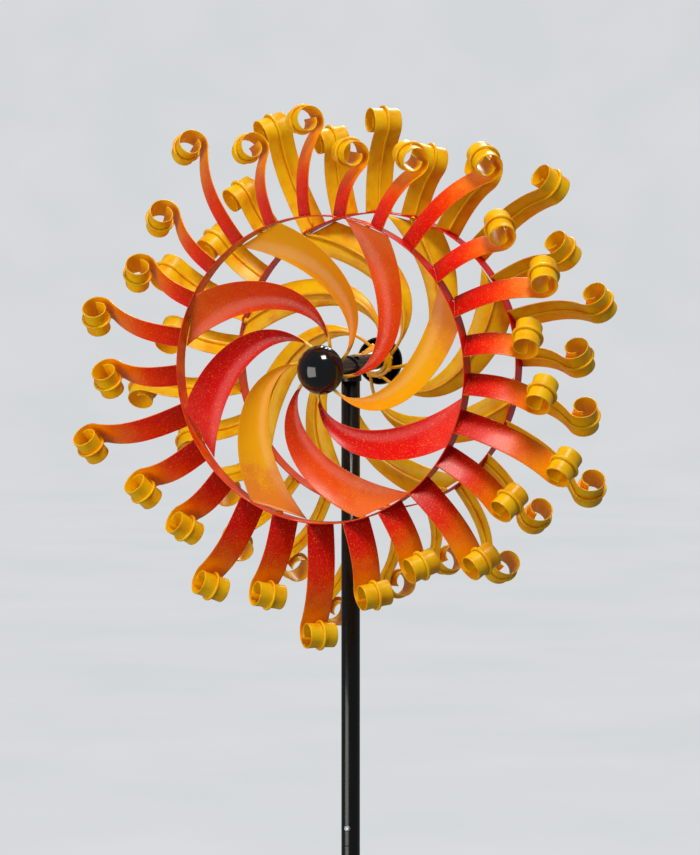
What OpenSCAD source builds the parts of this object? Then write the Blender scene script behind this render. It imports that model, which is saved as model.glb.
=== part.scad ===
// Kinetic wind sculpture: two mirror-image sun wheels that turn freely on one
// horizontal axle at the top of a sectional garden pole with a ground stake.
// +Z is up, the axle runs along Y, and the front wheel is on the -Y side.
// The origin is where the pole's axis meets the ground.

/* [Stand] */
// Height of the wheels' axle above the ground
axle_h = 1400; // [1200:10:1600]
// Outer diameter of the pole
pole_d = 20.5; // [18:0.5:26]
// Wall thickness of the pole
pole_wall = 1.2; // [1:0.1:2]
// Height of the joint between the lower and the middle pole section
lower_joint_h = 455; // [350:5:550]
// Height of the joint between the middle and the upper pole section
upper_joint_h = 870; // [750:5:1000]
// Depth of the stake's prongs below the ground
stake_depth = 205; // [150:5:260]
// Length of the step bar
step_bar_l = 170; // [120:5:220]

/* [Head] */
// Distance from the pole's axis to the middle of each wheel
wheel_offset = 86; // [84:1:110]
// Outer diameter of the horizontal head tube
head_tube_d = 18.5; // [16:0.5:20]
// Diameter of the axle rod
axle_d = 8; // [8]

/* [Wheel] */
// Mean radius of the hoop
hoop_r = 165; // [160:1:170]
// Width of the hoop's flat strip
hoop_w = 21.6; // [18:0.2:26]
// Thickness of the hoop's flat strip
hoop_t = 1.5; // [1:0.1:3]
// Clockwise turn of the front wheel's first ray, seen from the front
front_ray_turn = 7.6; // [0:0.1:14]
// Clockwise turn of the rear wheel's first ray, seen from the front
rear_ray_turn = 15; // [0:0.1:28]
// Clockwise turn of the front wheel's first blade, seen from the front
front_blade_turn = 20; // [0:1:44]
// Clockwise turn of the rear wheel's first blade, seen from the front
rear_blade_turn = 17; // [0:1:44]

/* [Rays] */
// Number of rays on a wheel, a multiple of five
ray_count = 25; // [20:5:25]
// Width of a ray's strip
ray_w = 32; // [26:1:34]
// Thickness of a ray's strip
ray_t = 1.2; // [0.8:0.1:2]
// Pitch of a ray's strip to the plane of its wheel
ray_pitch = 45; // [30:1:60]
// Diameter of the stiffening rod along the back of a ray
ray_rod_d = 3.2; // [2.5:0.1:4]
// Bend radius where a ray's hook starts
hook_r = 18; // [16:0.5:20]
// Bend radius at the inner end of a ray's hook
hook_end_r = 8.5; // [7:0.5:10]
// Heading at the inner end of a ray's hook, where 0 is straight out from the axle
hook_end = 395; // [360:5:430]
// Heading of a ray's strip at the hoop
foot_heading = 10; // [0:1:20]
// Mean lean of the front wheel's rays away from their hooks
front_lean = 5; // [0:0.5:8]
// Change of that lean round the front wheel
front_lean_swing = 5; // [0:0.5:6]
// Turn of the front ray that leans the most
front_lean_side = 32; // [0:1:90]
// Lean of the rear wheel's rays away from their hooks
rear_lean = 9; // [0:0.5:12]

/* [Blades] */
// Number of blades on a wheel
blade_count = 8; // [8]
// Thickness of a blade's sheet
blade_t = 1.2; // [1:0.1:2]
// Rise across a blade for each millimetre of its width
blade_pitch = 0.32; // [0.2:0.01:0.4]
// Depth of a blade's hollow
blade_cup = 6.5; // [3:0.5:9]
// Diameter of the rod along the back of a blade
blade_rod_d = 3.8; // [3:0.1:4.5]

/* [Hub] */
// Outer diameter of the hub barrel
barrel_d = 28; // [26:0.5:30]
// Diameter of the hub disc that the blade rods are welded to
disc_d = 36; // [34:0.5:40]
// Diameter of the dome cap
cap_d = 53; // [50:1:56]
// Depth of the dome cap
cap_depth = 24; // [23:0.5:26]

/* [Hidden] */
$fn = 96;
eps = 0.01;

// A piece that slides inside another of the same body has this radial gap
slip = 0.05;

// Welded pieces sink into each other by this much
weld = 0.2;

// Bearing of the 608 size, turned round to lie along the wheel's own axis
bearing_od = 22;
bearing_w = 7;
bearing_pitch_r = 7.5;
ball_d = 3.96;
race_gap = 1.4;
groove_r = ball_d / 2 + 0.03;
ball_count = 7;
inner_bearing_z = -9.5;
outer_bearing_z = 8.5;
barrel_low = inner_bearing_z - bearing_w / 2;
barrel_high = outer_bearing_z + bearing_w / 2;

// Head: tube, end plugs, washers and nuts, measured from the pole's axis
washer_t = 1.6;
washer_d = 15;
nut_af = 13;
nut_h = 7;
tube_wall = 1.5;
plug_flange_t = 1.4;
tube_half = wheel_offset + barrel_low - washer_t - plug_flange_t;
plug_l = 14;
axle_half = wheel_offset + barrel_high + washer_t + nut_h + 1.2;
saddle_t = 1.6;
saddle_w = 30;
saddle_drop = 17;

// Pole sections and their swaged necks
neck_l = 40;
neck_d = pole_d - 2 * pole_wall - 2 * slip;
pole_foot_h = 8;
screw_d = 4;
screw_drop = 20;

// Stake
bar_w = 22;
bar_t = 8;
socket_wall = 2;
socket_l = 75;
socket_d = pole_d + 2 * slip + 2 * socket_wall;
spike_d = 9;
prong_d = 8;
prong_spread = step_bar_l / 2 - 14;
point_l = 22;

// Blade outline: edge curves in the wheel's plane, across and outwards, for a
// blade whose outer end is at the top
concave_edge = [[28, 3], [67, 31], [45, 108], [-35, 160.2]];
convex_edge = [[28, 3], [96, 32], [71, 119], [24.5, 162.2]];
blade_back = -3.2;
blade_stations = 13;
blade_columns = 5;
blade_start = 0.05;
rod_start = [14.5, -3.5];
rod_sides = 6;
rod_stations = 10;
disc_t = 4.4;
disc_z = blade_back - blade_t - blade_rod_d / 2;

// Ray lengths from the wheel's axis, in the order they repeat round the wheel
ray_reach = [249, 262, 301, 266, 283];
ray_foot = hoop_r + weld;
hook_start = -30;
stem_drop = 0.1;
stem = [[0, 0], [0.36, 0.36 * tan(foot_heading)],
  [0.67, -stem_drop - 0.33 * tan(hook_start)], [1, -stem_drop]];
stem_steps = 8;
hook_steps = 19;

RAY_NAMES = ["short", "low", "long", "mid", "high"];

// ---------- Shared placing ----------

// A wheel's own frame has +Z out of its face and +Y up; the rear wheel mirrors the front
module wheel_frame(rear) {
  mirror([0, rear ? 1 : 0, 0])
    translate([0, -wheel_offset, axle_h])
      rotate([90, 0, 0])
        children();
}

// Both ends of the head: children are drawn for the front end
module both_ends() {
  wheel_frame(false) children();
  wheel_frame(true) children();
}

// A straight round tube along Z
module tube(d_out, d_in, h) {
  difference() {
    cylinder(d = d_out, h = h);
    translate([0, 0, -1]) cylinder(d = d_in, h = h + 2);
  }
}

// ---------- Stake ----------

module spike(d, l) {
  translate([0, 0, -l + point_l]) cylinder(d = d, h = l - point_l);
  translate([0, 0, -l]) cylinder(d1 = 1, d2 = d, h = point_l);
}

module center_spike() {
  color("black") spike(spike_d, stake_depth);
}

module side_spikes() {
  color("black")
    for (side = [-1, 1])
      translate([side * prong_spread, 0, 0]) spike(prong_d, stake_depth - 25);
}

module step_bar() {
  color("black")
    translate([-step_bar_l / 2, -bar_w / 2, 0]) cube([step_bar_l, bar_w, bar_t]);
}

module stake_socket() {
  color("black")
    translate([0, 0, bar_t])
      difference() {
        tube(socket_d, pole_d + 2 * slip, socket_l);
        screw_hole(socket_l - 15);
      }
}

// ---------- Pole ----------

module screw_hole(h) {
  translate([0, 0, h]) rotate([90, 0, 0]) cylinder(d = screw_d + 0.1, h = socket_d);
}

// Pole section from z0 to z1 with a swaged neck on top
module pole_section(z0, z1, screw_at) {
  difference() {
    union() {
      translate([0, 0, z0]) cylinder(d = pole_d, h = z1 - z0);
      translate([0, 0, z1 - eps]) cylinder(d = neck_d, h = neck_l);
    }
    translate([0, 0, z0 - 1]) cylinder(d = pole_d - 2 * pole_wall, h = z1 - z0 - 4);
    translate([0, 0, z0]) cylinder(d = neck_d - 2 * pole_wall, h = z1 - z0 + neck_l + 1);
    for (h = screw_at) screw_hole(h);
  }
}

module pole_lower() {
  color("black")
    pole_section(pole_foot_h, lower_joint_h,
      [bar_t + socket_l - 15, lower_joint_h + screw_drop]);
}

module pole_middle() {
  color("black")
    pole_section(lower_joint_h, upper_joint_h,
      [lower_joint_h + screw_drop, upper_joint_h + screw_drop]);
}

// The upper section's top is coped to the head tube
module pole_upper() {
  color("black")
    difference() {
      translate([0, 0, upper_joint_h]) cylinder(d = pole_d, h = axle_h - upper_joint_h);
      translate([0, 0, upper_joint_h - 1])
        cylinder(d = pole_d - 2 * pole_wall, h = axle_h - upper_joint_h + 2);
      translate([0, -pole_d, axle_h])
        rotate([-90, 0, 0]) cylinder(d = head_tube_d, h = 2 * pole_d);
      screw_hole(upper_joint_h + screw_drop);
    }
}

// Button-head screws that lock the pole's joints
module pole_screws() {
  color("dimgray")
    for (h = [bar_t + socket_l - 15, lower_joint_h + screw_drop, upper_joint_h + screw_drop])
      translate([0, 0, h]) rotate([90, 0, 0]) {
        face = (h < lower_joint_h ? socket_d : pole_d) / 2;
        translate([0, 0, neck_d / 2 - 4]) cylinder(d = screw_d, h = face - neck_d / 2 + 4.2);
        translate([0, 0, face + 0.2]) cylinder(d1 = 7.4, d2 = 5, h = 2.2);
      }
}

// ---------- Head ----------

module head_tube() {
  color("black")
    translate([0, -tube_half, axle_h])
      rotate([-90, 0, 0]) tube(head_tube_d, head_tube_d - 2 * tube_wall, 2 * tube_half);
}

// Formed strap over the head tube with a cheek down each side of the pole's top
module head_saddle() {
  r_in = pole_d / 2;
  color("black")
    difference() {
      translate([0, 0, axle_h - saddle_drop])
        cylinder(r = r_in + saddle_t, h = saddle_drop + head_tube_d / 2 + saddle_t);
      translate([0, 0, axle_h - saddle_drop - 1]) cylinder(r = r_in, h = saddle_drop + 1);
      translate([0, 0, axle_h - eps]) cylinder(r = head_tube_d / 2, h = head_tube_d / 2);
      translate([0, -saddle_w, axle_h])
        rotate([-90, 0, 0]) cylinder(d = head_tube_d, h = 2 * saddle_w);
      translate([0, 0, axle_h])
        rotate([-90, 0, 0])
          difference() {
            translate([-saddle_w, -saddle_w, -saddle_w]) cube([2 * saddle_w, saddle_w, 2 * saddle_w]);
            translate([0, 0, -saddle_w - 1])
              cylinder(d = head_tube_d + 2 * saddle_t, h = 2 * saddle_w + 2);
          }
    }
}

// Flanged plugs that centre the axle in the head tube's ends
module tube_plugs() {
  color("black")
    both_ends()
      translate([0, 0, tube_half - wheel_offset - plug_flange_t])
        difference() {
          union() {
            translate([0, 0, -plug_l + plug_flange_t])
              cylinder(d = head_tube_d - 2 * tube_wall - 2 * slip, h = plug_l);
            translate([0, 0, plug_flange_t]) cylinder(d = head_tube_d, h = plug_flange_t);
          }
          translate([0, 0, -plug_l]) cylinder(d = axle_d + 0.1, h = 3 * plug_l);
        }
}

module axle_rod() {
  color("silver")
    translate([0, -axle_half, axle_h]) rotate([-90, 0, 0]) cylinder(d = axle_d, h = 2 * axle_half);
}

module washer(z) {
  translate([0, 0, z]) tube(washer_d, axle_d + 0.3, washer_t);
}

module axle_washers() {
  color("silver")
    both_ends()
      for (z = [barrel_low - washer_t, barrel_high]) washer(z);
}

module lock_nuts() {
  color("silver")
    both_ends()
      translate([0, 0, barrel_high + washer_t])
        difference() {
          union() {
            cylinder(d = nut_af / cos(30), h = nut_h - 1.6, $fn = 6);
            cylinder(d = nut_af - 1, h = nut_h);
          }
          translate([0, 0, -1]) cylinder(d = axle_d + 0.02, h = nut_h + 2);
        }
}

// Sleeves between the two inner races of a wheel
module race_spacers() {
  z0 = inner_bearing_z + bearing_w / 2;
  color("silver")
    both_ends()
      translate([0, 0, z0]) tube(11.4, axle_d + 0.1, outer_bearing_z - bearing_w / 2 - z0);
}

// ---------- Bearings ----------

module race(r_in, r_out, z) {
  translate([0, 0, z])
    rotate_extrude()
      difference() {
        translate([r_in, -bearing_w / 2]) square([r_out - r_in, bearing_w]);
        translate([bearing_pitch_r, 0]) circle(r = groove_r, $fn = 48);
      }
}

module bearing_inner_races() {
  color("gainsboro")
    both_ends()
      for (z = [inner_bearing_z, outer_bearing_z])
        race(axle_d / 2 + 0.02, bearing_pitch_r - race_gap, z);
}

module bearing_balls() {
  color("silver")
    both_ends()
      for (z = [inner_bearing_z, outer_bearing_z], k = [0 : ball_count - 1])
        rotate([0, 0, k * 360 / ball_count])
          translate([bearing_pitch_r, 0, z]) sphere(d = ball_d, $fn = 24);
}

module outer_races(rear) {
  color("gainsboro")
    wheel_frame(rear)
      for (z = [inner_bearing_z, outer_bearing_z])
        race(bearing_pitch_r + race_gap, bearing_od / 2 - 0.02, z);
}

// ---------- Hub ----------

module hub_barrel(rear) {
  shoulder_w = outer_bearing_z - inner_bearing_z - bearing_w;
  color("orange")
    wheel_frame(rear)
      difference() {
        translate([0, 0, barrel_low]) cylinder(d = barrel_d, h = barrel_high - barrel_low);
        translate([0, 0, barrel_low - 1]) cylinder(d = bearing_od - 3, h = barrel_high - barrel_low + 2);
        translate([0, 0, barrel_low - 1]) cylinder(d = bearing_od, h = bearing_w + 1);
        translate([0, 0, barrel_low + bearing_w + shoulder_w]) cylinder(d = bearing_od, h = bearing_w + 1);
      }
}

module hub_disc(rear) {
  color("orange")
    wheel_frame(rear)
      translate([0, 0, disc_z - disc_t / 2]) tube(disc_d, barrel_d, disc_t);
}

// Domed cap with an inner collar that pushes over the hub barrel
module cap(rear) {
  wall = 1.6;
  rim_z = 3;
  collar_z = rim_z + 2;
  ball_r = (cap_d * cap_d / 4 + cap_depth * cap_depth) / (2 * cap_depth);
  color("black")
    wheel_frame(rear) {
      translate([0, 0, rim_z])
        rotate_extrude()
          intersection() {
            difference() {
              translate([0, cap_depth - ball_r]) circle(r = ball_r, $fn = 128);
              translate([0, cap_depth - ball_r]) circle(r = ball_r - wall, $fn = 128);
            }
            square([cap_d, cap_depth + 1]);
          }
      difference() {
        translate([0, 0, collar_z])
          cylinder(d = barrel_d + 2 * slip + 3, h = 16);
        translate([0, 0, collar_z - 1]) cylinder(d = barrel_d + 2 * slip, h = 20);
        translate([0, 0, rim_z + cap_depth - ball_r])
          difference() {
            sphere(r = ball_r + 12);
            sphere(r = ball_r - wall / 2);
          }
      }
    }
}

// ---------- Hoop ----------

module hoop(rear) {
  color("red")
    wheel_frame(rear)
      translate([0, 0, -hoop_w / 2]) tube(2 * hoop_r + hoop_t, 2 * hoop_r - hoop_t, hoop_w);
}

// ---------- Blades ----------

function bezier(p, t) =
  pow(1 - t, 3) * p[0] + 3 * t * pow(1 - t, 2) * p[1]
  + 3 * t * t * (1 - t) * p[2] + pow(t, 3) * p[3];

// Point on a blade's face: t runs from the hub to the hoop, v across from -1 to 1
function blade_point(t, v) =
  let (
    a = bezier(concave_edge, t),
    b = bezier(convex_edge, t),
    half = norm(b - a) / 2,
    hollow = blade_cup * min(1, 4 * t * (1 - t) + 0.3 * t) * min(1, half / 16),
    p = a * (1 - v) / 2 + b * (1 + v) / 2
  )
  [p.x, p.y, blade_back + blade_pitch * half * v + hollow * v * v];

module blade_sheet() {
  ts = [for (i = [0 : blade_stations]) blade_start + (1 - blade_start) * i / blade_stations];
  vs = [for (j = [0 : blade_columns - 1]) 2 * j / (blade_columns - 1) - 1];
  n = blade_columns;
  rows = len(ts);
  face = [for (t = ts) for (v = vs) blade_point(t, v)];
  back = [for (p = face) p - [0, 0, blade_t]];
  m = rows * n;
  quads = [for (i = [0 : rows - 2]) for (j = [0 : n - 2]) i * n + j];
  tris = concat(
    [for (q = quads) each [[q, q + n, q + n + 1], [q, q + n + 1, q + 1]]],
    [for (q = quads) each [[m + q, m + q + n + 1, m + q + n], [m + q, m + q + 1, m + q + n + 1]]],
    [for (i = [0 : rows - 2]) each [
      [i * n, m + i * n, m + i * n + n], [i * n, m + i * n + n, i * n + n],
      [i * n + n - 1, i * n + 2 * n - 1, m + i * n + 2 * n - 1],
      [i * n + n - 1, m + i * n + 2 * n - 1, m + i * n + n - 1]]],
    [for (j = [0 : n - 2]) each [
      [j, j + 1, m + j + 1], [j, m + j + 1, m + j],
      [m - n + j, 2 * m - n + j, 2 * m - n + j + 1], [m - n + j, 2 * m - n + j + 1, m - n + j + 1]]]
  );
  polyhedron(points = concat(face, back), faces = tris);
}

module blade(rear, k) {
  turn = (rear ? rear_blade_turn : front_blade_turn) + (k - 1) * 360 / blade_count;
  paint = ["red", "orangered", "gold"][k % 3];
  color(paint)
    wheel_frame(rear)
      rotate([0, 0, -turn]) blade_sheet();
}

// Middle line of a blade's rod, from the hub disc to the hoop
function rod_point(t) =
  let (p = (bezier(concave_edge, t) + bezier(convex_edge, t)) / 2)
  [p.x, p.y, disc_z];

// Round rod swept along the given points, which all lie in one plane
module swept_rod(path, d, sides) {
  n = len(path);
  rings = [for (i = [0 : n - 1])
    let (
      d0 = path[min(n - 1, i + 1)] - path[max(0, i - 1)],
      across = [-d0.y, d0.x, 0] / norm([d0.x, d0.y])
    )
    for (s = [0 : sides - 1])
      path[i] + d / 2 * (cos(s * 360 / sides) * across + [0, 0, sin(s * 360 / sides)])];
  walls = [for (i = [0 : n - 2]) for (s = [0 : sides - 1])
    let (a = i * sides + s, b = i * sides + (s + 1) % sides)
    each [[a, b, b + sides], [a, b + sides, a + sides]]];
  ends = [
    [for (s = [0 : sides - 1]) sides - 1 - s],
    [for (s = [0 : sides - 1]) (n - 1) * sides + s]
  ];
  polyhedron(points = rings, faces = concat(walls, ends));
}

module blade_rods(rear) {
  last = rod_point(1);
  tip = last * (hoop_r - hoop_t / 4) / norm([last.x, last.y]);
  path = concat(
    [[rod_start.x, rod_start.y, disc_z]],
    [for (i = [0 : rod_stations]) rod_point(i / rod_stations)],
    [[tip.x, tip.y, disc_z]]
  );
  turn = rear ? rear_blade_turn : front_blade_turn;
  color("orange")
    wheel_frame(rear)
      for (k = [0 : blade_count - 1])
        rotate([0, 0, -turn - k * 360 / blade_count]) swept_rod(path, blade_rod_d, rod_sides);
}

// ---------- Rays ----------

// Point of a hook at a heading: its bend radius shrinks evenly as it turns
function hook_point(heading) =
  let (
    shrink = (hook_r - hook_end_r) / (hook_end - hook_start),
    r = hook_r - shrink * (heading - hook_start),
    c = shrink * 180 / PI
  )
  [r * sin(heading) - c * cos(heading), -r * cos(heading) - c * sin(heading)];

// Middle line of a ray's strip, as distance from the axle and height off the strip's plane:
// a stem that bows one way and leans the other, then a hook that winds inwards
function ray_path(reach) =
  let (
    start = hook_point(hook_start),
    stem_l = reach - ray_t / 2 - ray_foot - hook_point(90).x + start.x,
    foot = [ray_foot, 0],
    turn = (hook_end - hook_start) / hook_steps
  )
  concat(
    [for (i = [0 : stem_steps - 1]) foot + stem_l * bezier(stem, i / stem_steps)],
    [for (i = [0 : hook_steps])
      foot + stem_l * stem[3] + hook_point(hook_start + i * turn) - start]
  );

// Direction along a path of points, at point i
function along(p, i) =
  let (d = p[min(len(p) - 1, i + 1)] - p[max(0, i - 1)])
  d / norm(d);

// The path's points moved sideways by w
function offset_path(p, w) =
  [for (i = [0 : len(p) - 1]) let (d = along(p, i)) p[i] + w * [d.y, -d.x]];

function reversed(p) = [for (i = [len(p) - 1 : -1 : 0]) p[i]];

// Flat outline between two distances from the path
function band(p, w0, w1) = concat(offset_path(p, w0), reversed(offset_path(p, w1)));

module ray(reach, lean) {
  path = ray_path(reach);
  rotate([0, ray_pitch, 0])
    rotate([0, 0, 90])
      translate([ray_foot, 0, 0])
        rotate([0, 0, -lean])
          translate([-ray_foot, 0, 0]) {
            linear_extrude(height = ray_w, center = true) polygon(band(path, -ray_t / 2, ray_t / 2));
            linear_extrude(height = ray_rod_d, center = true)
              polygon(band(path, ray_t / 2 - weld, ray_t / 2 + ray_rod_d));
          }
}

// Every fifth ray of a wheel has the same length; the front ones lean unevenly, as bent by hand
module rays(rear, kind) {
  color(rear ? "gold" : "orangered")
    wheel_frame(rear)
      for (k = [kind : 5 : ray_count - 1]) {
        turn = (rear ? rear_ray_turn : front_ray_turn) + k * 360 / ray_count;
        lean = rear ? rear_lean : front_lean + front_lean_swing * cos(turn - front_lean_side);
        rotate([0, 0, -turn]) ray(ray_reach[kind], lean);
      }
}

// ---------- Assembly ----------

center_spike();
side_spikes();
step_bar();
stake_socket();
pole_lower();
pole_middle();
pole_upper();
pole_screws();
head_tube();
head_saddle();
tube_plugs();
axle_rod();
axle_washers();
lock_nuts();
race_spacers();
bearing_inner_races();
bearing_balls();
hoop(false);  // front_hoop
hub_barrel(false);  // front_hub_barrel
hub_disc(false);  // front_hub_disc
outer_races(false);  // front_outer_races
cap(false);  // front_cap
blade_rods(false);  // front_blade_rods
for (k = [1 : blade_count])
  blade(false, k);
for (k = [0 : 4])
  rays(false, k);
hoop(true);  // rear_hoop
hub_barrel(true);  // rear_hub_barrel
hub_disc(true);  // rear_hub_disc
outer_races(true);  // rear_outer_races
cap(true);  // rear_cap
blade_rods(true);  // rear_blade_rods
for (k = [1 : blade_count])
  blade(true, k);
for (k = [0 : 4])
  rays(true, k);
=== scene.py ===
"""Finished look of a kinetic wind sculpture: two sun wheels on a black garden pole.

Shapes are worked out in millimetres in a wheel's own frame (+Z out of its face, +Y up)
or along a straight axis, and put into the row frame in metres.
"""

import math

import bpy
import numpy as np
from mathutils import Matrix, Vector


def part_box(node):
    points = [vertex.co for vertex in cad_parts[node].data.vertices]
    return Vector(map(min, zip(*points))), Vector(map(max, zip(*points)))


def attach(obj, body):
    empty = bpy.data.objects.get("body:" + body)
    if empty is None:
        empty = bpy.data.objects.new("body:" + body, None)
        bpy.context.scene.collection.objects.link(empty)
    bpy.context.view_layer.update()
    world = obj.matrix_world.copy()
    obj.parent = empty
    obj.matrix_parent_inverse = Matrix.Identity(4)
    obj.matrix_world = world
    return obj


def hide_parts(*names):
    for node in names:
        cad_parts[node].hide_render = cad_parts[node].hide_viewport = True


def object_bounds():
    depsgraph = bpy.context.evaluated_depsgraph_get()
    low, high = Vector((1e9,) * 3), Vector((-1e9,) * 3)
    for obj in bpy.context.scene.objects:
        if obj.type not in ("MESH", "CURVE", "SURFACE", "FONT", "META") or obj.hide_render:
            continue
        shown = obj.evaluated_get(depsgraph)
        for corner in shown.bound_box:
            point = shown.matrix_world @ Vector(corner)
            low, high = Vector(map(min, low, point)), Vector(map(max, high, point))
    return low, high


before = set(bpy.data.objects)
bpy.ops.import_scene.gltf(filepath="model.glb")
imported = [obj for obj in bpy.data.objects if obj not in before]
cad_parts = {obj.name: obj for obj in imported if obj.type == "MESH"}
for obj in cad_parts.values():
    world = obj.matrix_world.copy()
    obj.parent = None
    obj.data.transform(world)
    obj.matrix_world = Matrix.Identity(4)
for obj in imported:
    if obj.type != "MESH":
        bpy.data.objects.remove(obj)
cad_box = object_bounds()

MM = 0.001
rng = np.random.default_rng(11)

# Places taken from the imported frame
hoop_low, hoop_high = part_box("front_hoop")
AXLE_H = (hoop_low.z + hoop_high.z) / 2 / MM
WHEEL_Y = -(hoop_low.y + hoop_high.y) / 2 / MM
HOOP_OUT = (hoop_high.x - hoop_low.x) / 2 / MM
HOOP_HALF_W = (hoop_high.y - hoop_low.y) / 2 / MM

# ---------- Sizes, in millimetres and degrees ----------

HOOP_T = 1.5
HOOP_R = HOOP_OUT - HOOP_T / 2
# How far a hand-bent hoop strays from round and from flat
HOOP_OUT_OF_ROUND, HOOP_OUT_OF_FLAT = 0.125, 0.15

RAY_COUNT = 25
RAY_FOOT = HOOP_R + 0.2
RAY_TURN = {"front": 7.6, "rear": 15.0}
RAY_REACH = {"short": 249, "low": 262, "long": 301, "mid": 266, "high": 283}
# Mean lean of a wheel's rays, its change round the wheel, and the turn where it is greatest
RAY_LEAN = {"front": (5, 5, 32), "rear": (9, 0, 0)}
RAY_W = 32
RAY_T = 1.2
RAY_PITCH = 45
RAY_ROD_R = 1.6
FOOT_HEADING = 10
STEM_DROP = 0.1
HOOK_R, HOOK_END_R = 18, 8.5
HOOK_START, HOOK_END = -30, 395
RAY_CROWN = 0.45

BLADE_COUNT = 8
BLADE_TURN = {"front": 20, "rear": 17}
BLADE_KINDS = ("red", "orange", "yellow")
CONCAVE_EDGE = [[28, 3], [67, 31], [45, 108], [-35, 160.2]]
CONVEX_EDGE = [[28, 3], [96, 32], [71, 119], [24.5, 162.2]]
BLADE_BACK = -3.2
BLADE_T = 1.2
BLADE_START = 0.05
BLADE_PITCH = 0.32
BLADE_CUP = 6.5
BLADE_ROD_R = 1.9
ROD_START = [14.5, -3.5]
DISC_Z = BLADE_BACK - BLADE_T - BLADE_ROD_R

DISC_R = 18
DISC_T = 4.4
BARREL_R = 14
BEARING_R = 11
BARREL_LOW, BARREL_HIGH = -13, 12
BEARING_W = 7
CAP_R = 26.5
CAP_DEPTH = 24
CAP_RIM_Z = 3
CAP_WALL = 1.6
CAP_LIP_R = 0.95

POLE_R = 10.25
POLE_WALL = 1.2
NECK_L = 40
NECK_R = POLE_R - POLE_WALL - 0.05
FOOT_H, LOWER_JOINT, UPPER_JOINT = (
    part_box(name)[0].z / MM for name in ("pole_lower", "pole_middle", "pole_upper"))
HEAD_R = 9.25
HEAD_WALL = 1.5
HEAD_HALF = 70.0
SOCKET_R = POLE_R + 2.05
SOCKET_L = 75
BAR_L, BAR_W, BAR_T = 170, 22, 8
CENTER_SPIKE = (4.5, 205)
SIDE_SPIKE = (4.0, 180)
SPIKE_X = 71
POINT_L = 22


# ---------- Mesh making ----------

def part(points, wrap_rows=False, **values):
    """One closed solid skinned over rings of points, an array of rows, columns and xyz.

    Columns always close round. Rows close round too with wrap_rows, and otherwise each end
    is shut by a fan to its middle. Values are numbers carried by every point, as arrays that
    fit rows by columns. Faces are turned to point outwards by the sign of the volume.
    """
    rows, cols = points.shape[:2]
    index = np.arange(rows * cols).reshape(rows, cols)
    low, high = (index, np.roll(index, -1, 0)) if wrap_rows else (index[:-1], index[1:])
    quads = np.stack([low, np.roll(low, -1, 1), np.roll(high, -1, 1), high], -1).reshape(-1, 4)
    flat = points.reshape(-1, 3)
    carried = {n: np.broadcast_to(v, (rows, cols)).reshape(-1) for n, v in values.items()}
    fans = np.zeros((0, 3), int)
    if not wrap_rows:
        first, last = index[0], index[-1]
        hub = np.full(cols, rows * cols)
        fans = np.concatenate([
            np.stack([np.roll(first, -1), first, hub], -1),
            np.stack([last, np.roll(last, -1), hub + 1], -1),
        ])
        flat = np.concatenate([flat, points[[0, -1]].mean(1)])
        carried = {n: np.concatenate([v, [v[:cols].mean(), v[-cols:].mean()]]) for n, v in carried.items()}
    tris = np.concatenate([quads[:, :3], quads[:, [0, 2, 3]], fans])
    a, b, c = (flat[tris[:, i]] - flat.mean(0) for i in range(3))
    if (np.cross(a, b) * c).sum() < 0:
        quads, fans = quads[:, ::-1], fans[:, ::-1]
    return {"points": flat, "quads": quads, "fans": fans, "values": carried}


def piece(name, parts, material, body, slot, *nodes):
    """Joins the parts into one smooth mesh that rides on a body and stands for the CAD nodes."""
    starts = np.cumsum([0] + [len(p["points"]) for p in parts])
    faces = []
    for p, start in zip(parts, starts):
        faces += (p["quads"] + start).tolist() + (p["fans"] + start).tolist()
    mesh = bpy.data.meshes.new(name)
    mesh.from_pydata(np.concatenate([p["points"] for p in parts]), [], faces)
    for key in parts[0]["values"]:
        layer = mesh.attributes.new(key, "FLOAT", "POINT")
        layer.data.foreach_set("value", np.concatenate([p["values"][key] for p in parts]).astype(np.float32))
    mesh.polygons.foreach_set("use_smooth", np.ones(len(mesh.polygons), bool))
    mesh.materials.append(material)
    mesh.update()
    made = bpy.data.objects.new(name, mesh)
    bpy.context.scene.collection.objects.link(made)
    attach(made, body)
    if nodes:
        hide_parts(*nodes)
    return made


def bezier(points, t):
    """Cubic Bezier curve through four points at the parameters t."""
    p = np.array(points, float)
    t = t[:, None]
    return (1 - t) ** 3 * p[0] + 3 * t * (1 - t) ** 2 * p[1] + 3 * t * t * (1 - t) * p[2] + t ** 3 * p[3]


def unit(v):
    return v / np.linalg.norm(v, axis=-1, keepdims=True)


def rounded(corners, radius, steps=4):
    """Closed outline whose corners are quadratic curves cut back by radius, or by under half
    of a shorter side, with one more point just beyond each curve so that flats shade flat."""
    c = np.array(corners, float)
    before, after = np.roll(c, 1, 0) - c, np.roll(c, -1, 0) - c
    cut_in = np.minimum(radius, 0.4 * np.linalg.norm(before, axis=1))[:, None]
    cut_out = np.minimum(radius, 0.4 * np.linalg.norm(after, axis=1))[:, None]
    start, end = c + unit(before) * cut_in, c + unit(after) * cut_out
    t = np.linspace(0, 1, steps)[:, None, None]
    curve = (1 - t) ** 2 * start + 2 * t * (1 - t) * c + t * t * end
    margin = [(start + unit(before) * cut_in * 0.2)[None], curve, (end + unit(after) * cut_out * 0.2)[None]]
    return np.concatenate(margin).transpose(1, 0, 2).reshape(-1, 2)


def strip_outline(edge_steps=5):
    """Round-edged flat strip, as three arrays for the points round it: place across the flat
    part from -1 to 1, and the cosine and sine of the turn round an edge."""
    flat = np.array([-1, -0.93, -0.6, -0.2, 0.2, 0.6, 0.93, 1])
    turn = np.radians(np.linspace(90, -90, edge_steps)[1:-1])
    side, edge = np.ones(len(flat)), np.ones(len(turn))
    across = np.concatenate([flat, edge, flat[::-1], -edge])
    cosine = np.concatenate([0 * side, np.cos(turn), 0 * side, -np.cos(turn)])
    sine = np.concatenate([side, np.sin(turn), -side, np.sin(turn[::-1])])
    return across, cosine, sine


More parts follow.
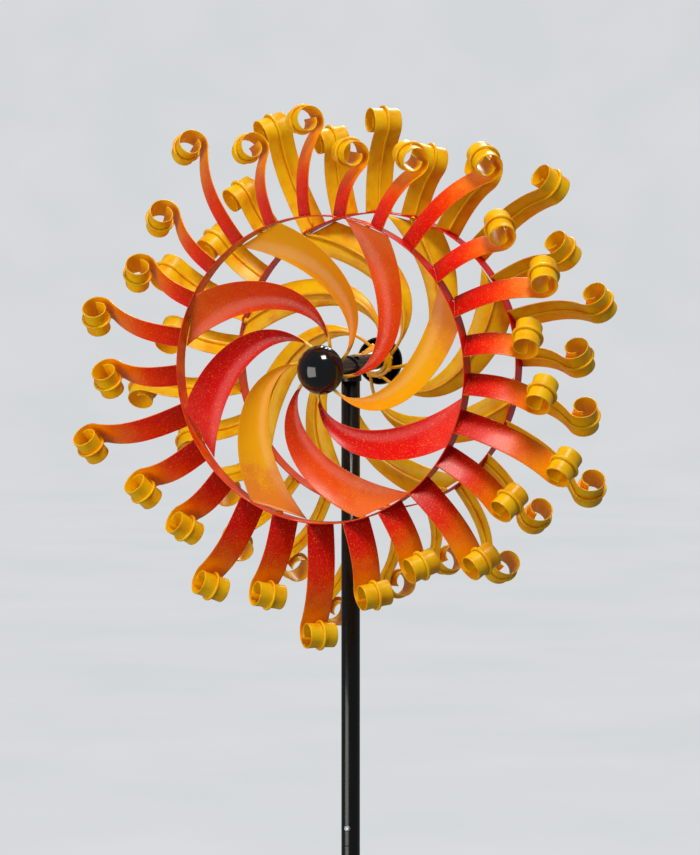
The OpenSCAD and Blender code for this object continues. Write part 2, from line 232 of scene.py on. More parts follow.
ACROSS, EDGE_COS, EDGE_SIN = strip_outline()


def in_wheel(points, wheel, turn=0.0):
    """Wheel-frame points turned clockwise by turn degrees, in the row frame, in metres."""
    a = math.radians(turn)
    x = points[..., 0] * math.cos(a) + points[..., 1] * math.sin(a)
    y = points[..., 1] * math.cos(a) - points[..., 0] * math.sin(a)
    side = -1 if wheel == "front" else 1
    return MM * np.stack([x, side * (WHEEL_Y + points[..., 2]), AXLE_H + y], -1)


def lathe(profile, segments=96):
    """Profile of radius and height turned about an axis: rows follow the profile."""
    a = np.linspace(0, 2 * np.pi, segments, endpoint=False)
    p = np.array(profile, float)
    r, h = p[:, :1], np.broadcast_to(p[:, 1:], (len(p), segments))
    return np.stack([r * np.cos(a), r * np.sin(a), h], -1)


def upright(points, centre=(0, 0, 0)):
    """Points about a vertical axis through centre, in metres."""
    return MM * (points + np.array(centre, float))


def along_y(points, side=1, centre=(0, 0, 0)):
    """Points turned from their own Z onto the row frame's Y, out to that side, in metres."""
    turned = np.stack([points[..., 0], side * points[..., 2], points[..., 1]], -1)
    return MM * (turned + np.array(centre, float))


# ---------- Rays ----------

def hook_points(heading):
    """Curve whose bend radius falls evenly with its heading: the radius r times the heading's
    (cos, sin), summed over the turn, gives (r sin + c cos, c sin - r cos)."""
    c = (HOOK_END_R - HOOK_R) / math.radians(HOOK_END - HOOK_START)
    r = HOOK_R + c * (heading - math.radians(HOOK_START))
    return np.stack([r * np.sin(heading) + c * np.cos(heading),
                     c * np.sin(heading) - r * np.cos(heading)], -1)


def ray_path(reach):
    """Middle line of a ray's strip as distance from the axle and height towards its face: a
    bowed stem, then a hook that winds inwards. Also its length so far, in stems."""
    end = HOOK_END + rng.uniform(-12, 12)
    hook = hook_points(np.radians(np.linspace(HOOK_START, end, 78)))
    furthest = hook_points(np.radians(90.0))[0] - hook[0, 0]
    stem_l = reach - RAY_T / 2 - RAY_FOOT - furthest
    rise = 0.36 * math.tan(math.radians(FOOT_HEADING))
    turn_in = -STEM_DROP - 0.33 * math.tan(math.radians(HOOK_START))
    stem = bezier([[0, 0], [0.36, rise], [0.67, turn_in], [1, -STEM_DROP]], np.linspace(0, 1, 27)[:-1])
    path = np.concatenate([stem * stem_l, [stem_l, -STEM_DROP * stem_l] + hook - hook[0]])
    length = np.concatenate([[0], np.cumsum(np.linalg.norm(np.diff(path, axis=0), axis=1))])
    return path + [RAY_FOOT, 0], length / length[len(stem)]


def leaned(path, lean):
    """A ray's path turned about its foot, away from its hook."""
    a = math.radians(lean)
    out, height = path[:, 0] - RAY_FOOT, path[:, 1]
    return np.stack([RAY_FOOT + out * math.cos(a) + height * math.sin(a),
                     height * math.cos(a) - out * math.sin(a)], -1)


def tilted(flat, across, pitch):
    """Points given in a ray's own plane and across its strip, pitched about the ray's line."""
    p = math.radians(pitch)
    out, height = flat[..., 0], flat[..., 1]
    return np.stack([across * math.sin(p) - height * math.cos(p), out,
                     height * math.sin(p) + across * math.cos(p)], -1)


def ray(wheel, reach, turn):
    """A crowned strip, the rod down the middle of its back, and the weld at the hoop."""
    path, length = ray_path(reach + rng.uniform(-1.5, 1.5))
    mean, swing, side = RAY_LEAN[wheel]
    path = leaned(path, mean + swing * math.cos(math.radians(turn - side)))
    pitch = RAY_PITCH + rng.uniform(-2, 2)
    turn = turn + rng.uniform(-0.5, 0.5)
    tone = rng.uniform(-0.06, 0.06)
    tangent = unit(np.gradient(path, axis=0))
    up = np.stack([-tangent[:, 1], tangent[:, 0]], -1)[:, None]
    along = length[:, None] + tone

    edge_r = RAY_T / 2
    across = ACROSS * (RAY_W / 2 - edge_r) + edge_r * EDGE_COS
    height = edge_r * EDGE_SIN + RAY_CROWN * (1 - ACROSS ** 2)
    flat = path[:, None] + up * height[:, None]
    strip = part(in_wheel(tilted(flat, np.broadcast_to(across, flat.shape[:2]), pitch), wheel, turn),
                 along=along, face=(EDGE_SIN + 1) / 2)

    a = np.linspace(0, 2 * np.pi, 10, endpoint=False)
    taper = np.ones(len(path) - 3)
    taper[-2:] = 0.85, 0.45
    rod_r = (RAY_ROD_R * taper)[:, None]
    depth = -(RAY_T / 2 + RAY_ROD_R - 0.3) + rod_r * np.cos(a)
    rod_path, rod_up = path[1:-2, None], up[1:-2]
    rod = part(in_wheel(tilted(rod_path + rod_up * depth[..., None], rod_r * np.sin(a), pitch), wheel, turn),
               along=along[1:-2], face=0.0)
    return [strip, rod, foot_weld(wheel, pitch, turn)]


def foot_weld(wheel, pitch, turn):
    """Bead where a ray meets the hoop: a tube along the foot whose radius ripples."""
    half = 0.46 * RAY_W
    w = np.linspace(-half, half, 40)[:, None]
    a = np.linspace(0, 2 * np.pi, 8, endpoint=False)
    ripple = 1 + 0.22 * np.sin(w * 2.1 + rng.uniform(0, 6)) + rng.uniform(-0.1, 0.1, w.shape)
    r = 1.5 * ripple * np.sqrt(np.clip(1.02 - (w / half) ** 2, 0, 1)) ** 0.5
    hoop_line = np.sqrt(HOOP_OUT ** 2 - (w * math.sin(math.radians(pitch))) ** 2)
    flat = np.stack(np.broadcast_arrays(hoop_line + 0.3 + r * np.cos(a), r * 1.25 * np.sin(a)), -1)
    return part(in_wheel(tilted(flat, np.broadcast_to(w, flat.shape[:2]), pitch), wheel, turn),
                along=0.0, face=1.0)


# ---------- Blades ----------

def blade(wheel, turn, tone):
    """Cupped sheet between two Bezier edges: it rises evenly across and hollows with the
    square of the distance from its middle line."""
    t = BLADE_START + (1 - BLADE_START) * np.linspace(0, 1, 46) ** 1.15
    concave, convex = bezier(CONCAVE_EDGE, t)[:, None], bezier(CONVEX_EDGE, t)[:, None]
    t = t[:, None]
    half = np.linalg.norm(convex - concave, axis=-1) / 2
    edge_r = np.minimum(BLADE_T / 2, 0.7 * half)
    v = (ACROSS * (half - edge_r) + edge_r * EDGE_COS) / half
    hollow = BLADE_CUP * np.minimum(1, 4 * t * (1 - t) + 0.3 * t) * np.minimum(1, half / 16)
    flat = concave * (1 - v[..., None]) / 2 + convex * (1 + v[..., None]) / 2
    z = BLADE_BACK + BLADE_PITCH * half * v + hollow * v * v + BLADE_T / 2 * (EDGE_SIN - 1)
    points = np.concatenate([flat, z[..., None]], -1)
    return part(in_wheel(points, wheel, turn), along=t + tone, face=(EDGE_SIN + 1) / 2)


def blade_rod(wheel, turn):
    """Round rod down the middle of a blade's back, from the hub disc to the hoop."""
    middle = (bezier(CONCAVE_EDGE, np.linspace(0, 1, 40)) + bezier(CONVEX_EDGE, np.linspace(0, 1, 40))) / 2
    tip = middle[-1] * (HOOP_R - HOOP_T / 4) / np.linalg.norm(middle[-1])
    path = np.concatenate([[ROD_START], middle, [tip]])
    d = unit(np.gradient(path, axis=0))
    across = np.stack([-d[:, 1], d[:, 0]], -1)[:, None]
    a = np.linspace(0, 2 * np.pi, 10, endpoint=False)
    flat = path[:, None] + across * (BLADE_ROD_R * np.cos(a))[:, None]
    z = np.broadcast_to(DISC_Z + BLADE_ROD_R * np.sin(a), flat.shape[:2])
    rod = part(in_wheel(np.concatenate([flat, z[..., None]], -1), wheel, turn), along=1.0, face=0.0)
    inside = tip * (HOOP_R - HOOP_T / 2 - 0.6) / np.linalg.norm(tip)
    root = np.array(ROD_START) * (DISC_R - 0.8) / np.linalg.norm(ROD_START)
    return [rod, blob(wheel, turn, inside, 3.4), blob(wheel, turn, root, 2.8)]


def blob(wheel, turn, place, size):
    """Weld blob: a ball flattened to 0.8 of its height whose radius ripples round and up."""
    up = np.radians(np.linspace(-84, 84, 11))[:, None]
    a = np.linspace(0, 2 * np.pi, 16, endpoint=False)
    phase = rng.uniform(0, 6, 2)
    r = size * (1 + 0.07 * np.sin(3 * a + phase[0]) + 0.05 * np.sin(5 * up + phase[1]))
    points = np.stack([place[0] + r * np.cos(up) * np.cos(a), place[1] + r * np.cos(up) * np.sin(a),
                       DISC_Z + 0.8 * r * np.sin(up)], -1)
    return part(in_wheel(points, wheel, turn), along=1.0, face=0.0)


# ---------- Hoop and hub ----------

def hoop(wheel):
    """Round-edged strip bent into a ring, a little out of round as a hand-bent one is."""
    a = np.linspace(0, 2 * np.pi, 240, endpoint=False)[:, None]
    edge_r = HOOP_T / 2
    r = HOOP_R + edge_r * EDGE_SIN + HOOP_OUT_OF_ROUND * np.sin(3 * a + 0.7)
    z = ACROSS * (HOOP_HALF_W - edge_r) + edge_r * EDGE_COS + HOOP_OUT_OF_FLAT * np.sin(2 * a + 1.9)
    points = np.stack([r * np.sin(a), r * np.cos(a), z], -1)
    return part(in_wheel(points, wheel), wrap_rows=True, face=(EDGE_SIN + 1) / 2)


def hub(wheel):
    """Turned barrel with its two bearing seats, and the disc that the blade rods meet."""
    disc_low, disc_high = DISC_Z - DISC_T / 2, DISC_Z + DISC_T / 2
    seat = BEARING_R - 1.5
    outline = rounded([
        [BEARING_R, BARREL_LOW], [BARREL_R, BARREL_LOW], [BARREL_R, disc_low], [DISC_R, disc_low],
        [DISC_R, disc_high], [BARREL_R, disc_high], [BARREL_R, BARREL_HIGH], [BEARING_R, BARREL_HIGH],
        [BEARING_R, BARREL_HIGH - BEARING_W], [seat, BARREL_HIGH - BEARING_W],
        [seat, BARREL_LOW + BEARING_W], [BEARING_R, BARREL_LOW + BEARING_W]], 0.7)
    return part(in_wheel(lathe(outline), wheel), wrap_rows=True)


def cap(wheel):
    """Spun dome: an outer and an inner arc about one centre, joined round a thick rim."""
    ball_r = (CAP_R ** 2 + CAP_DEPTH ** 2) / (2 * CAP_DEPTH)
    centre = CAP_RIM_Z + CAP_DEPTH - ball_r
    lip = math.degrees(math.asin((CAP_RIM_Z + 0.8 - centre) / ball_r))
    out = np.radians(np.linspace(89.2, lip, 40))
    rim = np.radians(np.linspace(30, -180, 12))
    lip_r = ball_r * math.cos(out[-1]) - 0.5 * CAP_WALL
    inner_r, back = ball_r - CAP_WALL, out[::-1]
    dome = np.concatenate([
        np.stack([ball_r * np.cos(out), centre + ball_r * np.sin(out)], -1),
        np.stack([lip_r + CAP_LIP_R * np.cos(rim), CAP_RIM_Z + CAP_LIP_R + CAP_LIP_R * np.sin(rim)], -1),
        np.stack([inner_r * np.cos(back), centre + inner_r * np.sin(back)], -1)])
    collar_in, collar_out = BARREL_R + 0.05, BARREL_R + 1.6
    collar = rounded([[collar_in, CAP_RIM_Z + 2], [collar_out, CAP_RIM_Z + 2],
                      [collar_out, 20.5], [collar_in, 20.5]], 0.4)
    return [part(in_wheel(lathe(dome), wheel)), part(in_wheel(lathe(collar), wheel), wrap_rows=True)]


# ---------- Stand ----------

def pole(low, high, neck):
    """Tube with soft lips at its ends and, where neck is above 0, a swaged neck on top."""
    r_in = POLE_R - POLE_WALL
    outline = [[r_in, low], [POLE_R, low], [POLE_R, high]]
    if neck:
        outline += [[NECK_R, high + 1.2], [NECK_R, high + neck], [NECK_R - POLE_WALL, high + neck],
                    [NECK_R - POLE_WALL, high - 3], [r_in, high - 5]]
    else:
        outline += [[r_in, high]]
    return lathe(rounded(outline, 0.9))


def coped(points):
    """Cuts points off at the underside of the head tube, a cylinder along Y."""
    x = np.minimum(abs(points[..., 0]), HEAD_R)
    points[..., 2] = np.minimum(points[..., 2], AXLE_H - np.sqrt(HEAD_R ** 2 - x ** 2) - 0.05)
    return points


def spike(radius, depth):
    """Round prong with a long blunt point."""
    return lathe([[0.5, -depth], [1.0, -depth + 0.5], [radius - 0.4, -depth + POINT_L - 2],
                  [radius, -depth + POINT_L + 1.5], [radius, -4], [radius, 0.5]], 48)


def ring_weld(centre, ring_r, bead_r):
    """Bead round a joint: a ring whose section's radius ripples with the turn."""
    a = np.linspace(0, 2 * np.pi, 120, endpoint=False)[:, None]
    b = np.linspace(0, 2 * np.pi, 8, endpoint=False)
    r = bead_r * (1 + 0.16 * np.sin(22 * a) + rng.uniform(-0.08, 0.08, a.shape))
    points = np.stack([(ring_r + r * np.cos(b)) * np.cos(a), (ring_r + r * np.cos(b)) * np.sin(a),
                       np.broadcast_to(r * np.sin(b), (len(a), len(b)))], -1)
    return part(upright(points, centre), wrap_rows=True)


def step_bar():
    """Flat bar with soft long edges whose section shrinks over the last millimetre."""
    outline = rounded([[-BAR_W / 2, 0], [BAR_W / 2, 0], [BAR_W / 2, BAR_T], [-BAR_W / 2, BAR_T]], 1.6)
    inset = np.array([1.2, 0.35, 0, 0, 0, 0, 0.35, 1.2])[:, None]
    x = np.array([0, 0.35, 1.2, 4, BAR_L - 4, BAR_L - 1.2, BAR_L - 0.35, BAR_L])[:, None] - BAR_L / 2
    middle = np.array([0, BAR_T / 2])
    toward = np.sign(outline - middle) * np.minimum(abs(outline - middle), 1.0)
    y = outline[:, 0] - inset * toward[:, 0]
    z = outline[:, 1] - inset * toward[:, 1]
    return part(MM * np.stack([np.broadcast_to(x, y.shape), y, z], -1))


def button_screw(height, surface_r):
    """Button-head screw in the pole's front: a dome round a hexagonal recess."""
    a = np.linspace(0, 2 * np.pi, 72, endpoint=False)
    hexagon = math.cos(math.pi / 6) / np.cos((a + math.pi / 6) % (math.pi / 3) - math.pi / 6)
    r = np.array([0.8, 1.4, 1.44, 1.5, 2.1, 2.8, 3.4, 3.65, 3.7, 3.7])[:, None]
    z = np.array([0.9, 0.9, 1.9, 2.2, 2.15, 1.8, 1.15, 0.5, 0.0, -1.2])[:, None]
    shaped = np.array([1, 1, 1, 1, 0.2, 0, 0, 0, 0, 0])[:, None]
    r = r * (1 + shaped * (hexagon * 1.12 - 1))
    points = np.stack([r * np.cos(a), r * np.sin(a), np.broadcast_to(z, r.shape)], -1)
    return part(along_y(points, -1, (0, -surface_r - 0.2, height)))


# ---------- Finishes ----------

FLECK = "#FFB21E"


def colour(code):
    """A hex sRGB colour as linear red, green, blue and alpha."""
    s = np.array([int(code[i:i + 2], 16) for i in (1, 3, 5)]) / 255
    linear = np.where(s <= 0.04045, s / 12.92, ((s + 0.055) / 1.055) ** 2.4)
    return (*linear.tolist(), 1.0)


def per_mm(size):
    """Texture scale, on coordinates in metres, whose features are size millimetres."""
    return 1 / (size * MM)


def add(tree, kind, inputs=None, stops=(), **settings):
    """Adds one node. Inputs are numbers or other nodes' outputs, and stops a ramp's colours."""
    node = tree.nodes.new("ShaderNode" + kind)
    for name, value in settings.items():
        setattr(node, name, value)
    for key, value in (inputs or {}).items():
        if isinstance(value, bpy.types.NodeSocket):
            tree.links.new(value, node.inputs[key])
        else:
            node.inputs[key].default_value = value
    if stops:
        elements = node.color_ramp.elements
        elements.remove(elements[1])
        elements[0].position, elements[0].color = stops[0][0], colour(stops[0][1])
        for place, code in stops[1:]:
            elements.new(place).color = colour(code)
    return node


def start_material(name):
    made = bpy.data.materials.new(name)
    made.use_nodes = True
    made.node_tree.nodes.clear()
    return made, made.node_tree


def finish_material(tree, shader):
    add(tree, "OutputMaterial", {"Surface": shader.outputs[0]})


def sprayed_enamel(name, face, back, span):
    """Gloss enamel, sprayed in bands over a yellow coat and baked. The bands fade into each
    other in a mist of droplets, drawn 1.6 mm across so that they show, with pale flecks where
    the yellow coat comes through. The clear top skin has a faint orange peel. Face stops run
    from the hub outwards over span."""
    made, tree = start_material(name)
    place = add(tree, "TexCoord").outputs["Object"]
    along = add(tree, "Attribute", attribute_name="along").outputs["Fac"]
    side = add(tree, "Attribute", attribute_name="face").outputs["Fac"]
    cloud = add(tree, "TexNoise", {"Vector": place, "Scale": per_mm(16), "Detail": 3.0}).outputs[0]
    drops = add(tree, "TexNoise", {
        "Vector": place, "Scale": per_mm(1.6), "Detail": 2.0, "Roughness": 0.75}).outputs[0]
    drifted = add(tree, "Math", {0: cloud, 1: 0.34, 2: along}, operation="MULTIPLY_ADD")
    misted = add(tree, "Math", {0: drops, 1: 0.5, 2: drifted.outputs[0]}, operation="MULTIPLY_ADD")
    band = add(tree, "MapRange", {"Value": misted.outputs[0], "From Min": 0.42, "From Max": 0.42 + span})
    front = add(tree, "ValToRGB", {"Fac": band.outputs[0]}, stops=face)
    behind = add(tree, "ValToRGB", {"Fac": cloud}, stops=back)
    fleck = add(tree, "MapRange", {"Value": drops, "From Min": 0.6, "From Max": 0.7, "To Max": 0.55})
    misty = add(tree, "Mix", {
        0: fleck.outputs[0], 6: front.outputs[0], 7: colour(FLECK)}, data_type="RGBA")
    both = add(tree, "Mix", {0: side, 6: behind.outputs[0], 7: misty.outputs[2]}, data_type="RGBA")
    peel = add(tree, "TexNoise", {"Vector": place, "Scale": per_mm(2.6), "Detail": 1.0}).outputs[0]
    skin = add(tree, "Bump", {"Height": peel, "Strength": 0.22, "Distance": 0.05 * MM})
    dull = add(tree, "MapRange", {"Value": cloud, "To Min": 0.28, "To Max": 0.4})
    shader = add(tree, "BsdfPrincipled", {
        "Base Color": both.outputs[2], "Roughness": dull.outputs[0], "Normal": skin.outputs[0],
        "Specular IOR Level": 0.24, "Coat Weight": 0.06, "Coat Roughness": 0.08})
    finish_material(tree, shader)
    return made


def plain_enamel(name, stops, gloss, peel_mm, coat):
    """Baked enamel of one colour: it varies softly over 30 mm, and light slides over a faint
    orange peel."""
    made, tree = start_material(name)
    place = add(tree, "TexCoord").outputs["Object"]
    cloud = add(tree, "TexNoise", {"Vector": place, "Scale": per_mm(30), "Detail": 4.0}).outputs[0]
    tint = add(tree, "ValToRGB", {"Fac": cloud}, stops=stops)
    peel = add(tree, "TexNoise", {"Vector": place, "Scale": per_mm(peel_mm), "Detail": 1.0}).outputs[0]
    skin = add(tree, "Bump", {"Height": peel, "Strength": 0.25, "Distance": 0.04 * MM})
    dull = add(tree, "MapRange", {"Value": cloud, "To Min": gloss - 0.05, "To Max": gloss + 0.08})
    shader = add(tree, "BsdfPrincipled", {
        "Base Color": tint.outputs[0], "Roughness": dull.outputs[0], "Normal": skin.outputs[0],
        "Specular IOR Level": 0.4, "Coat Weight": coat, "Coat Roughness": 0.05})
    finish_material(tree, shader)
    return made


def two_sided_enamel(name, outside, inside):
    """Baked enamel on the hoop: red outside, and inside where the red met the orange mist."""
    made, tree = start_material(name)
    place = add(tree, "TexCoord").outputs["Object"]
    side = add(tree, "Attribute", attribute_name="face").outputs["Fac"]
    cloud = add(tree, "TexNoise", {"Vector": place, "Scale": per_mm(22), "Detail": 4.0}).outputs[0]
    out = add(tree, "ValToRGB", {"Fac": cloud}, stops=outside)
    inner = add(tree, "ValToRGB", {"Fac": cloud}, stops=inside)
    both = add(tree, "Mix", {0: side, 6: inner.outputs[0], 7: out.outputs[0]}, data_type="RGBA")
    peel = add(tree, "TexNoise", {"Vector": place, "Scale": per_mm(2.6), "Detail": 1.0}).outputs[0]
    skin = add(tree, "Bump", {"Height": peel, "Strength": 0.22, "Distance": 0.05 * MM})
    shader = add(tree, "BsdfPrincipled", {
        "Base Color": both.outputs[2], "Roughness": 0.26, "Normal": skin.outputs[0],
        "Specular IOR Level": 0.24, "Coat Weight": 0.06, "Coat Roughness": 0.08})
    finish_material(tree, shader)
    return made


def bare_metal(name, stops, spangle_mm, gloss):
    """Metal whose crystals or grinding lines show as small patches of slightly different
    colour and gloss."""
    made, tree = start_material(name)
    place = add(tree, "TexCoord").outputs["Object"]
    grain = add(tree, "TexNoise", {"Vector": place, "Scale": per_mm(spangle_mm), "Detail": 4.0}).outputs[0]
    tint = add(tree, "ValToRGB", {"Fac": grain}, stops=stops)
    dull = add(tree, "MapRange", {"Value": grain, "To Min": gloss - 0.06, "To Max": gloss + 0.12})
    rough = add(tree, "Bump", {"Height": grain, "Strength": 0.15, "Distance": 0.03 * MM})
    shader = add(tree, "BsdfPrincipled", {
        "Base Color": tint.outputs[0], "Roughness": dull.outputs[0], "Normal": rough.outputs[0],
        "Metallic": 1.0})
    finish_material(tree, shader)
    return made


# The yellow base coat, as it varies over the back of a sheet
YELLOW_COAT = [(0.3, "#F3A104"), (0.5, "#FAC006"), (0.7, "#FCCB08")]

# Rays: sprayed red at the hoop, then orange, and left yellow at the hook
FLAME = sprayed_enamel("flame_sprayed_enamel", [
    (0.0, "#C40303"), (0.16, "#E40604"), (0.28, "#F02A03"), (0.4, "#F65E02"),
    (0.52, "#FA8602"), (0.64, "#FBA802"), (0.8, "#FBC002")], YELLOW_COAT, 1.7)

# Blades: one colour each, deeper at the hub, with a pink or pale mist at the outer end
BLADE_PAINT = {
    "red": sprayed_enamel("crimson_sprayed_enamel", [
        (0.0, "#A80104"), (0.3, "#D80205"), (0.75, "#EC0306"), (1.0, "#F5382E")], YELLOW_COAT, 1.0),
    "orange": sprayed_enamel("orange_sprayed_enamel", [
        (0.0, "#A80C02"), (0.25, "#DC2A03"), (0.6, "#F04003"), (0.85, "#F35405"), (1.0, "#F46C26")],
        YELLOW_COAT, 1.0),
    "yellow": sprayed_enamel("amber_sprayed_enamel", [
        (0.0, "#F08403"), (0.25, "#F69402"), (0.55, "#FAA602"), (0.85, "#FBB003"), (1.0, "#EE8628")],
        YELLOW_COAT, 1.0),
}

# Strip steel dipped red outside; the inside shows orange from the blades' mist
HOOP_PAINT = two_sided_enamel("hoop_baked_enamel", [(0.35, "#C00302"), (0.65, "#DC0604")],
                              [(0.35, "#DC3204"), (0.65, "#EC5A06")])

# Cast hub under a thick yellow coat
HUB_PAINT = plain_enamel("hub_baked_enamel", [(0.35, "#F0A004"), (0.65, "#FBC106")], 0.28, 2.6, 0.2)

# Steel tube baked black: near black, with a sharp streak of light down the tube
BLACK_ENAMEL = plain_enamel("black_baked_enamel", [(0.35, "#040505"), (0.65, "#08090A")], 0.22, 2.2, 0.2)

# Spun cap polished and lacquered black: it mirrors the room
CAP_ENAMEL = plain_enamel("cap_black_lacquer", [(0.35, "#040506"), (0.65, "#08090B")], 0.1, 5.0, 0.6)

# Zinc-plated steel: cool grey, with a fine satin grain
ZINC = bare_metal("zinc_plated_steel", [(0.3, "#AEB3B8"), (0.7, "#D2D6DA")], 1.2, 0.34)

# Ground bearing steel: bright, almost a mirror
BEARING = bare_metal("ground_bearing_steel", [(0.3, "#B9BCC0"), (0.7, "#D9DBDE")], 0.8, 0.16)

# Moulded nylon: deep black with a matt, slightly uneven skin
NYLON = plain_enamel("moulded_black_nylon", [(0.35, "#111213"), (0.65, "#191A1C")], 0.5, 1.2, 0.0)


# ---------- Building the object ----------

BLADE_TONES = [0.05, 0.1, 0.0, 0.1, 0.12, -0.04, -0.05, -0.28]

for wheel in ("front", "rear"):
    body = f"{wheel}_wheel"
    for order, (kind, reach) in enumerate(RAY_REACH.items()):
        rays = []
        for k in range(order, RAY_COUNT, len(RAY_REACH)):
            rays += ray(wheel, reach, RAY_TURN[wheel] + k * 360 / RAY_COUNT)
        node = f"{wheel}_rays_{kind}"
        piece(f"{node}_painted", rays, FLAME, body, "ray_flame_enamel", node)
    rods = []
    for k in range(1, BLADE_COUNT + 1):
        turn = BLADE_TURN[wheel] + (k - 1) * 360 / BLADE_COUNT
        paint = BLADE_KINDS[k % 3]
        node = f"{wheel}_blade_{k}"
        sheet = [blade(wheel, turn, BLADE_TONES[k - 1])]
        piece(f"{node}_painted", sheet, BLADE_PAINT[paint], body, f"blade_{paint}_enamel", node)
        rods += blade_rod(wheel, turn)
    piece(f"{wheel}_blade_rods_welded", rods, HUB_PAINT, body, "hub_yellow_enamel", f"{wheel}_blade_rods")
    piece(f"{wheel}_hoop_painted", [hoop(wheel)], HOOP_PAINT, body, "hoop_red_enamel", f"{wheel}_hoop")
    piece(f"{wheel}_hub_painted", [hub(wheel)], HUB_PAINT, body, "hub_yellow_enamel",
          f"{wheel}_hub_barrel", f"{wheel}_hub_disc")
    piece(f"{wheel}_cap_lacquered", cap(wheel), CAP_ENAMEL, body, "cap_black_enamel", f"{wheel}_cap")

SOCKET_TOP = BAR_T + SOCKET_L
socket = rounded([[POLE_R + 0.05, BAR_T], [SOCKET_R, BAR_T], [SOCKET_R, SOCKET_TOP],
                  [POLE_R + 0.05, SOCKET_TOP]], 0.8)
head = rounded([[HEAD_R - HEAD_WALL, -HEAD_HALF], [HEAD_R, -HEAD_HALF], [HEAD_R, HEAD_HALF],
                [HEAD_R - HEAD_WALL, HEAD_HALF]], 0.6)
BLACK_PIECES = {
    "center_spike": [part(upright(spike(*CENTER_SPIKE))), ring_weld((0, 0, -0.2), CENTER_SPIKE[0], 1.3)],
    "side_spikes": [made for x in (-SPIKE_X, SPIKE_X) for made in (
        part(upright(spike(*SIDE_SPIKE), (x, 0, 0))), ring_weld((x, 0, -0.2), SIDE_SPIKE[0], 1.3))],
    "step_bar": [step_bar()],
    "stake_socket": [part(upright(lathe(socket)), wrap_rows=True),
                     ring_weld((0, 0, BAR_T + 0.2), SOCKET_R, 1.5)],
    "pole_lower": [part(upright(pole(FOOT_H, LOWER_JOINT, NECK_L)), wrap_rows=True)],
    "pole_middle": [part(upright(pole(LOWER_JOINT, UPPER_JOINT, NECK_L)), wrap_rows=True)],
    "pole_upper": [part(upright(coped(pole(UPPER_JOINT, AXLE_H, 0))), wrap_rows=True)],
    "head_tube": [part(along_y(lathe(head), 1, (0, 0, AXLE_H)), wrap_rows=True)],
}
for node, parts in BLACK_PIECES.items():
    piece(f"{node}_enamelled", parts, BLACK_ENAMEL, "stand", "black_enamel", node)
screws = [button_screw(SOCKET_TOP - 15, SOCKET_R), button_screw(LOWER_JOINT + 20, POLE_R),
          button_screw(UPPER_JOINT + 20, POLE_R)]
piece("pole_screws_plated", screws, ZINC, "stand", "zinc_steel", "pole_screws")

KEPT_NODES = {
    "head_saddle": BLACK_ENAMEL, "tube_plugs": NYLON, "axle_rod": ZINC, "axle_washers": ZINC,
    "lock_nuts": ZINC, "race_spacers": ZINC, "bearing_inner_races": BEARING, "bearing_balls": BEARING,
    "front_outer_races": BEARING, "rear_outer_races": BEARING,
}
for node, material in KEPT_NODES.items():
    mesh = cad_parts[node].data
    mesh.materials.clear()
    mesh.materials.append(material)

# ---------- Floor, light and camera ----------


def stage_surface(name, profile, material):
    """A turned surface, open in the middle or not, that stands for the floor or the wall."""
    rings = MM * lathe(profile, 128)
    rows, cols = rings.shape[:2]
    index = np.arange(rows * cols).reshape(rows, cols)
    low, high = index[:-1], index[1:]
    quads = np.stack([low, high, np.roll(high, -1, 1), np.roll(low, -1, 1)], -1).reshape(-1, 4)
    mesh = bpy.data.meshes.new(name)
    mesh.from_pydata(rings.reshape(-1, 3), [], quads.tolist())
    mesh.polygons.foreach_set("use_smooth", np.ones(len(quads), bool))
    mesh.materials.append(material)
    made = bpy.data.objects.new(name, mesh)
    bpy.context.scene.collection.objects.link(made)
    return made


# Matt board: a grey that takes soft shadows, under a pale even glow with a very faint mottle
BOARD, board_tree = start_material("matt_pale_board")
board_place = add(board_tree, "TexCoord").outputs["Object"]
mottle = add(board_tree, "TexNoise", {"Vector": board_place, "Scale": per_mm(600), "Detail": 2.0}).outputs[0]
board_tint = add(board_tree, "ValToRGB", {"Fac": mottle}, stops=[(0.3, "#DFE2E4"), (0.7, "#E4E6E8")])
finish_material(board_tree, add(board_tree, "BsdfPrincipled", {
    "Base Color": colour("#66686A"), "Roughness": 0.9, "Specular IOR Level": 0.2,
    "Emission Color": board_tint.outputs[0], "Emission Strength": 0.85}))

FLOOR_Z = cad_box[0].z / MM - 0.5
FLOOR_R, SWEEP_R, WALL_H = 15000, 5000, 9000
sweep = np.radians(np.linspace(-90, 0, 24))
wall = [[FLOOR_R + SWEEP_R * math.cos(a), FLOOR_Z + SWEEP_R * (1 + math.sin(a))] for a in sweep]
floor = stage_surface("floor", [[1, FLOOR_Z], [400, FLOOR_Z], [2000, FLOOR_Z], [6000, FLOOR_Z]], BOARD)
backdrop = stage_surface("backdrop", [[6000, FLOOR_Z], *wall, [FLOOR_R + SWEEP_R, FLOOR_Z + WALL_H]], BOARD)
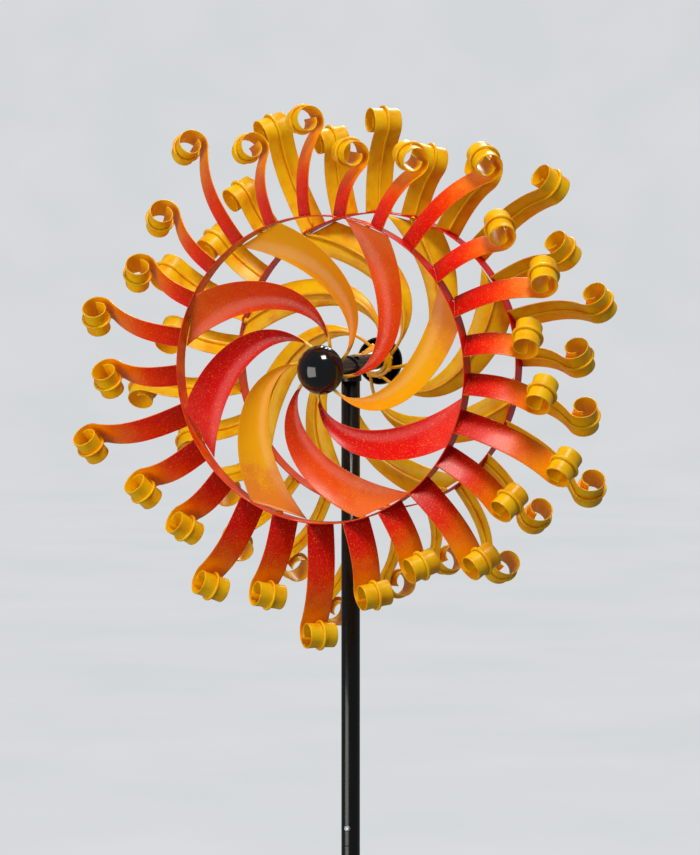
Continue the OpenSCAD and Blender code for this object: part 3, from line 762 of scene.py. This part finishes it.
# The floor and the wall are only looked at: the object takes no light from them
floor.visible_diffuse = floor.visible_glossy = False
backdrop.visible_diffuse = backdrop.visible_glossy = backdrop.visible_shadow = False

world = bpy.data.worlds.new("soft_room")
bpy.context.scene.world = world
world.use_nodes = True
world.node_tree.nodes["Background"].inputs["Color"].default_value = colour("#F1F5FA")
world.node_tree.nodes["Background"].inputs["Strength"].default_value = 0.2

HUB_AT = Vector((0, 0, AXLE_H * MM))


def soft_lamp(name, azimuth, elevation, distance, size, power, tint):
    """Square area lamp that faces the hub; azimuth turns from the front towards +X."""
    lamp = bpy.data.lights.new(name, "AREA")
    lamp.size, lamp.energy, lamp.color = size, power, colour(tint)[:3]
    a, e = math.radians(azimuth), math.radians(elevation)
    out = Vector((math.sin(a) * math.cos(e), -math.cos(a) * math.cos(e), math.sin(e)))
    made = bpy.data.objects.new(name, lamp)
    made.location = HUB_AT + out * distance
    made.rotation_mode = "QUATERNION"
    made.rotation_quaternion = (-out).to_track_quat("-Z", "Y")
    made.visible_camera = False
    bpy.context.scene.collection.objects.link(made)


soft_lamp("key", 38, 62, 3.4, 1.0, 80, "#FFF8EE")
soft_lamp("fill", -28, -8, 4.0, 3.0, 100, "#FFFAF2")
soft_lamp("back", 190, 45, 3.6, 1.2, 80, "#FFFFFF")

CAMERA_DISTANCE = 4.146
camera = bpy.data.objects.new("camera", bpy.data.cameras.new("camera"))
camera.data.lens = 159.7
azimuth, elevation = math.radians(21.08), math.radians(3.42)
yaw, pitch = math.radians(21.09), math.radians(-4.36)
camera.location = HUB_AT + CAMERA_DISTANCE * Vector((
    math.sin(azimuth) * math.cos(elevation), -math.cos(azimuth) * math.cos(elevation), math.sin(elevation)))
forward = Vector((-math.sin(yaw) * math.cos(pitch), math.cos(yaw) * math.cos(pitch), math.sin(pitch)))
camera.rotation_mode = "QUATERNION"
camera.rotation_quaternion = forward.to_track_quat("-Z", "Y")
bpy.context.scene.collection.objects.link(camera)
bpy.context.scene.camera = camera
bpy.context.scene.view_settings.view_transform = "Standard"
